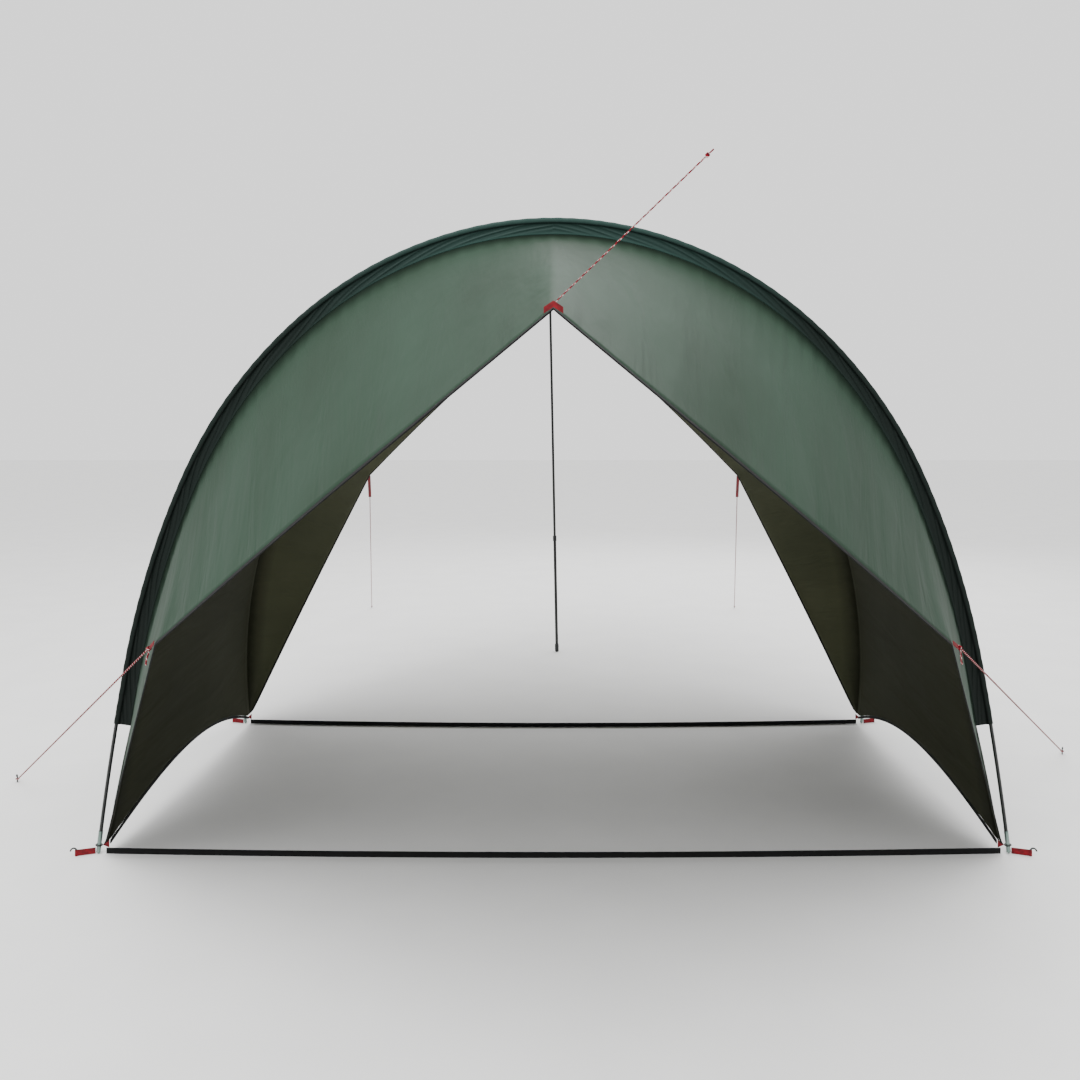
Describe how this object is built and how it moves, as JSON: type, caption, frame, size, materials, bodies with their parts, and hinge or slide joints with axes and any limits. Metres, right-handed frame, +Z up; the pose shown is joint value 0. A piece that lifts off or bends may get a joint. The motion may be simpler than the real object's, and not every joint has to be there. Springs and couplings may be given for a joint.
{
  "type": "arch tent on poles",
  "caption": "Open arched shelter: bent poles in sleeves carry a canopy with raised front and rear awnings, held by a telescopic pole, ground straps and taut guy ropes.",
  "frame": {"origin": "on the ground, at the middle of the tent's plan without its ropes", "axes": "+Z up, front awning towards -Y, +X to the right seen from the front"},
  "size_m": [4.4488, 6.7092, 2.3241],
  "materials": {
    "black_fibreglass": "pultruded black fibreglass, satin",
    "black_plastic": "moulded nylon",
    "black_steel_tube": "black powder coat",
    "black_webbing": "woven polyester webbing",
    "elastic_cord": "braided elastic cord",
    "ferrule_steel": "bright tube steel",
    "green_canopy": "coated polyester taffeta",
    "grey_pole_end": "dull anodised",
    "peg_steel": "black zinc-plated wire",
    "red_webbing": "woven polyester webbing",
    "red_white_rope": "braided red and white polyester",
    "spike_steel": "zinc plated"
  },
  "bodies": {
    "tent": {"canopy_roof": "green_canopy", "foot_pegs": "peg_steel", "foot_rings": "peg_steel", "foot_tabs": "red_webbing", "front_arch_ferrules": "ferrule_steel", "front_arch_tube_1": "black_fibreglass", "front_arch_tube_2": "black_fibreglass", "front_arch_tube_3": "black_fibreglass", "front_arch_tube_4": "black_fibreglass", "front_arch_tube_5": "black_fibreglass", "front_arch_tube_6": "black_fibreglass", "front_arch_tube_7": "black_fibreglass", "front_arch_tube_8": "black_fibreglass", "front_arch_tube_9": "black_fibreglass", "front_awning": "green_canopy", "front_corner_tabs": "red_webbing", "front_elastic_cord": "elastic_cord", "front_ground_strap": "black_webbing", "front_left_guy_rope": "red_white_rope", "front_left_pole_end": "grey_pole_end", "front_peak_guy_rope": "red_white_rope", "front_peak_rope_knot": "red_white_rope", "front_peak_tab": "red_webbing", "front_pole_sleeve": "green_canopy", "front_right_guy_rope": "red_white_rope", "front_right_pole_end": "grey_pole_end", "front_rope_knots": "red_white_rope", "guy_pegs": "peg_steel", "hem_binding": "black_webbing", "peg_loops": "red_webbing", "pole_foot": "black_plastic", "pole_lock_collar": "black_plastic", "pole_lower_tube": "black_steel_tube", "rear_arch_ferrules": "ferrule_steel", "rear_arch_tube_1": "black_fibreglass", "rear_arch_tube_2": "black_fibreglass", "rear_arch_tube_3": "black_fibreglass", "rear_arch_tube_4": "black_fibreglass", "rear_arch_tube_5": "black_fibreglass", "rear_arch_tube_6": "black_fibreglass", "rear_arch_tube_7": "black_fibreglass", "rear_arch_tube_8": "black_fibreglass", "rear_arch_tube_9": "black_fibreglass", "rear_awning": "green_canopy", "rear_corner_straps": "red_webbing", "rear_elastic_cord": "elastic_cord", "rear_ground_strap": "black_webbing", "rear_left_guy_rope": "red_white_rope", "rear_left_pole_end": "grey_pole_end", "rear_peak_tab": "red_webbing", "rear_pole_sleeve": "green_canopy", "rear_right_guy_rope": "red_white_rope", "rear_right_pole_end": "grey_pole_end"},
    "pole_lock": {"pole_lock_plug": "black_plastic"},
    "pole_upper": {"pole_middle_tube": "black_steel_tube", "pole_top_tube": "black_steel_tube", "pole_spigot": "spike_steel", "pole_spike": "spike_steel", "pole_lock_insert": "black_plastic"}
  },
  "joints": [
    {"name": "pole_height", "type": "slide", "parent": "tent", "child": "pole_lock", "axis": [-0.0195, 0, 0.9998], "range_m": [-0.58, 0]},
    {"name": "pole_twist", "type": "hinge", "parent": "pole_lock", "child": "pole_upper", "pos_m": [0.01009, 2.35, 0.63408], "axis": [-0.0195, 0, 0.9998], "range_deg": [0, 180]}
  ]
}
